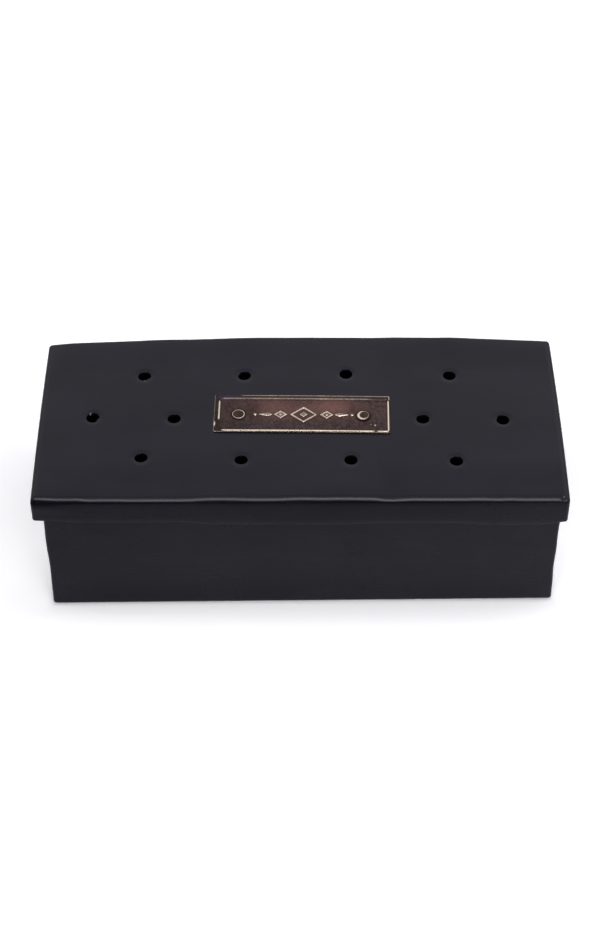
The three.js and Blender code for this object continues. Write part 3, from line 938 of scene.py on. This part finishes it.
bronze = aged_bronze("aged_bronze", *BADGE_PATINA)
rivet_bronze = aged_bronze("rivet_bronze", *RIVET_PATINA)
print("bronze of", len(bronze.node_tree.nodes), "nodes")

# %% Dress the pieces and say what they ride on and replace
for piece, body, node, slot, finish in [
    (tray, "tray", "tray", "black_paint", paint),
    (lid, "lid", "lid_shell", "black_paint", paint),
    (badge, "lid", "badge_plate", "aged_bronze", bronze),
    (rivet_left, "lid", "badge_rivet_left", "rivet_bronze", rivet_bronze),
    (rivet_right, "lid", "badge_rivet_right", "rivet_bronze", rivet_bronze),
]:
    piece.data.materials.append(finish)
    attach(piece, body)
    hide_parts(node)
    print(piece.name, "rides on", body, "and replaces", node)

# %% [markdown]
# The studio's floor is a middling grey to the lamps, so that it doesn't clip, and glows to the camera
# and to mirrors, which makes it white wherever no shadow falls. The glow is held back round the box,
# which paints a shade there on top of its cast shadow: most at the foot of the tray, and less beside
# the tray's two ends.

# %% The floor
FLOOR_SIZE = 8.0
SQUARE = np.array([(-1, -1), (1, -1), (1, 1), (-1, 1)])
FLOOR_GREY, FLOOR_GLOW = (0.885, 0.88, 0.9, 1), (0.98, 0.975, 1.0, 1)
# Ranges in metres, each with the values at its two ends, where a glow of 1 is white
# Held back near the tray, the glow below paints a shade there
FOOT_GLOW, OPENING, OPEN_GLOW = (0, 0.0014, 0.06, 0.2), (0, 0.0066, 0, 1), 0.325
PAST_END, BY_SIDE = (0, 0.003, 0, 1), (0, 0.008, 1, 0)
ENDS_GLOW, NOT_IN_FRONT, FAR_GLOW = (0, 0.028, 0.2, 0), (-0.035, -0.01, 0, 1), (0.14, 0.45, 0.06, 1)


def ray_is(nodes, *kinds):
    """1 for rays of any of these kinds and 0 for others."""
    path = nodes.add("LightPath")
    return nodes.math("MAXIMUM", *(path.outputs[f"Is {kind} Ray"] for kind in kinds))


def beyond_tray(nodes, place):
    """How far a place on the floor lies beyond the tray's ends and sides, and 0 where it doesn't."""
    beyond = nodes.vector("SUBTRACT", nodes.vector("ABSOLUTE", place), (*(half_tray * MM), 0))
    return nodes.vector("MAXIMUM", beyond)


def staged(name, points, faces, finish):
    """A plain mesh that belongs to the studio and not to the object."""
    mesh = bpy.data.meshes.new(name)
    mesh.from_pydata(points, [], faces)
    mesh.materials.append(finish)
    prop = bpy.data.objects.new(name, mesh)
    bpy.context.scene.collection.objects.link(prop)
    print(name, np.round(prop.dimensions, 2), "m")
    return prop


def floor_finish():
    """The floor's grey, and its glow by the distance from the tray, held back near it as painted shade."""
    made, nodes, shader, place = material("studio_floor")
    beyond = beyond_tray(nodes, place)
    past_ends, past_sides, _ = nodes.parts(beyond)
    off = nodes.vector("LENGTH", beyond)
    beside = nodes.math("MULTIPLY", nodes.fit(past_ends, *PAST_END), nodes.fit(past_sides, *BY_SIDE))
    opened = nodes.math("MAXIMUM", nodes.fit(off, *OPENING), beside)
    near = nodes.fit(opened, 0, 1, nodes.fit(off, *FOOT_GLOW), OPEN_GLOW)
    not_in_front = nodes.fit(nodes.parts(place)[1], *NOT_IN_FRONT)
    at_ends = nodes.math("MULTIPLY", nodes.fit(past_ends, *ENDS_GLOW), not_in_front)
    far = nodes.fit(nodes.vector("LENGTH", place), *FAR_GLOW)
    glow = nodes.math("MAXIMUM", nodes.math("ADD", near, at_ends), far)
    seen = ray_is(nodes, "Camera", "Glossy", "Transmission")
    nodes.feed(shader, {
        "Base Color": FLOOR_GREY, "Roughness": 1, "Specular IOR Level": 0,
        "Emission Color": FLOOR_GLOW, "Emission Strength": nodes.math("MULTIPLY", seen, glow),
    })
    return made


staged("studio_floor", [(x, y, 0) for x, y in SQUARE * FLOOR_SIZE / 2], [(0, 1, 2, 3)], floor_finish())

# %% [markdown]
# The tray's front and the skirt mirror the table before them, and that decides how black they look.
# So a card that only mirrors see lies just over the floor, with the tray standing in a hole in it. It
# is grey near the box, to the right and behind, and black further in front, and glows faintly close to
# the tray and to its right: a painted reflection for the tray and the skirt.

# %% The mirror card
CARD_TINT = (0.68, 0.655, 0.715, 1)
CARD_GAP, CARD_REACH, CARD_HEIGHT = 0.0005, 1.2, 0.0005
# Ranges in metres, each with the grey or the glow at its two ends
NEAR_GREY, RIGHT_GREY, BEHIND_GREY = (0.058, 0.078, 1, 0), (0.06, 0.16, 0, 0.6), (0, 0.1, 0, 0.6)
CLOSE_GLOW, RIGHT_GLOW = (0.005, 0.035, 0.11, 0), (-0.1, 0.1, 0, 0.16)


def card_finish():
    """A painted reflection: grey by the strongest of three ranges, and a faint glow close to the tray and to
    its right.
    """
    made, nodes, shader, place = material("mirror_card")
    past_ends, past_sides, _ = nodes.parts(beyond_tray(nodes, place))
    across, depth, _ = nodes.parts(place)
    off = nodes.math("MAXIMUM", past_ends, past_sides)
    near = nodes.fit(off, *NEAR_GREY)
    grey = nodes.math("MAXIMUM", near, nodes.fit(across, *RIGHT_GREY), nodes.fit(depth, *BEHIND_GREY))
    # Painted light: a faint glow near the tray and to its right
    painted_glow = nodes.math("MULTIPLY", near, nodes.fit(across, *RIGHT_GLOW))
    nodes.feed(shader, {
        "Base Color": nodes.mix(grey, (0, 0, 0, 1), CARD_TINT),
        "Specular IOR Level": 0,
        "Emission Color": CARD_TINT,
        "Emission Strength": nodes.math("ADD", painted_glow, nodes.fit(off, *CLOSE_GLOW)),
    })
    return made


card_plan = np.concatenate([SQUARE * (half_tray * MM + CARD_GAP), SQUARE * CARD_REACH])
card_faces = [(k, 4 + k, 4 + (k + 1) % 4, (k + 1) % 4) for k in range(4)]
card = staged("mirror_card", [(x, y, CARD_HEIGHT) for x, y in card_plan], card_faces, card_finish())
card.visible_camera = False
card.visible_diffuse = False
card.visible_shadow = False

# %% [markdown]
# Three softboxes light the box. The front one, high and before it, lights the tray and the skirt. A
# wider twin, which only mirrors see, makes the bright line along the front fold. The long narrow one
# overhead, which mirrors don't see, gives the soft shadow. A lamp's size sets how soft its light is.

# %% Lamps


def look_along(back, up=(0, 0, 1)):
    """A rotation whose local Z points back along the given direction."""
    back = np.array(back) / np.linalg.norm(back)
    right = np.cross(up, back)
    right /= np.linalg.norm(right)
    return np.stack([right, np.cross(back, right), back], axis=1)


def placed(matrix, place):
    """A 4 by 4 matrix from a rotation and a place."""
    full = np.eye(4)
    full[:3, :3], full[:3, 3] = matrix, place
    return Matrix(full)


def softbox(name, direction, size, power, hidden):
    """A rectangular lamp a metre off, shining back, with one kind of ray blind to it."""
    lamp = bpy.data.lights.new(name, "AREA")
    lamp.shape = "RECTANGLE"
    lamp.size, lamp.size_y = size
    lamp.energy = power
    holder = bpy.data.objects.new(name, lamp)
    direction = np.array(direction) / np.linalg.norm(direction)
    holder.matrix_world = placed(look_along(direction, (0, 1, 0)), direction)
    setattr(holder, hidden, False)
    bpy.context.scene.collection.objects.link(holder)
    print(name, size, "m,", power, "W")


softbox("front_softbox", (0.01, -0.72, 1.0), (0.62, 0.56), 6.2, "visible_glossy")
softbox("front_softbox_mirrored", (0.07, -0.72, 1.0), (0.82, 0.56), 8.0, "visible_diffuse")
softbox("top_softbox", (0.0, 0.06, 1.0), (1.4, 0.16), 3.4, "visible_glossy")

# %% [markdown]
# The world is plain white to the camera. What mirrors see of it is shaped: bright behind and overhead,
# which the lid's top mirrors, darker towards the horizon, and dark in front on the left. What lights
# the floor is brighter behind and to the right, so that the shadow falls to the front and the left.

# %% World
WORLD_WHITE, WORLD_TINT = (1, 1, 1, 1), (0.955, 0.945, 1.0, 1)
world = bpy.data.worlds.new("studio")
bpy.context.scene.world = world
world.use_nodes = True
sky = Nodes(world.node_tree)
# A direction's parts run from -1 to 1: across to the right, in depth to the back, and up
across, depth, height = sky.parts(sky.add("TexCoord").outputs["Generated"])
in_front = sky.fit(across, 0.04, 0.12, 0.04, 0.7)
behind = sky.fit(depth, -0.62, -0.32, in_front, 1.0)
upward = sky.fit(height, 0.5, 0.85, 1.2, 0.84)
leftward = sky.fit(across, -0.12, 0.12, 0.93, 1.01)
horizon = sky.fit(height, 0.0, 0.5, 0.25, 1.0)
camera_ray = ray_is(sky, "Camera")
mirror_ray = ray_is(sky, "Glossy", "Transmission")
plain_ray = sky.math("SUBTRACT", 1.0, camera_ray, mirror_ray)
mirrored = sky.math("MULTIPLY", mirror_ray, behind, upward, leftward, horizon)
to_back, to_right = sky.fit(depth, -0.4, 0.5, 0.17, 0.6), sky.fit(across, -0.6, 0.6, 0.0, 1.22)
lighting = sky.math("MULTIPLY", plain_ray, to_back, to_right)
sky.feed(world.node_tree.nodes["Background"], {
    "Color": sky.mix(camera_ray, WORLD_TINT, WORLD_WHITE),
    "Strength": sky.math("ADD", camera_ray, mirrored, lighting),
})
print("world of", len(world.node_tree.nodes), "nodes")

# %% [markdown]
# The camera looks down on the box from its front with a long lens. Its angle, distance and focal
# length were found by fitting the box's outline.

# %% Camera
SENSOR = 36.0
IMAGE_HEIGHT = 940
FOCAL_PIXELS = 2030.75
ELEVATION, AZIMUTH, ROLL = np.radians([45.397, -0.671, -0.062])
DISTANCE = 0.8406
TARGET = np.array([-0.00046, -0.0002, 0.03376])
back = np.array([
    np.sin(AZIMUTH) * np.cos(ELEVATION),
    -np.cos(AZIMUTH) * np.cos(ELEVATION),
    np.sin(ELEVATION),
])
level = look_along(back)
c, s = np.cos(ROLL), np.sin(ROLL)
rolled = level @ np.array([[c, -s, 0], [s, c, 0], [0, 0, 1]])
view = bpy.data.cameras.new("camera")
view.sensor_width = SENSOR
view.lens = FOCAL_PIXELS * SENSOR / IMAGE_HEIGHT
camera = bpy.data.objects.new("camera", view)
camera.matrix_world = placed(rolled, TARGET + DISTANCE * back)
bpy.context.scene.collection.objects.link(camera)
bpy.context.scene.camera = camera
bpy.context.scene.view_settings.view_transform = "Standard"
print("lens", round(view.lens, 2), "mm")
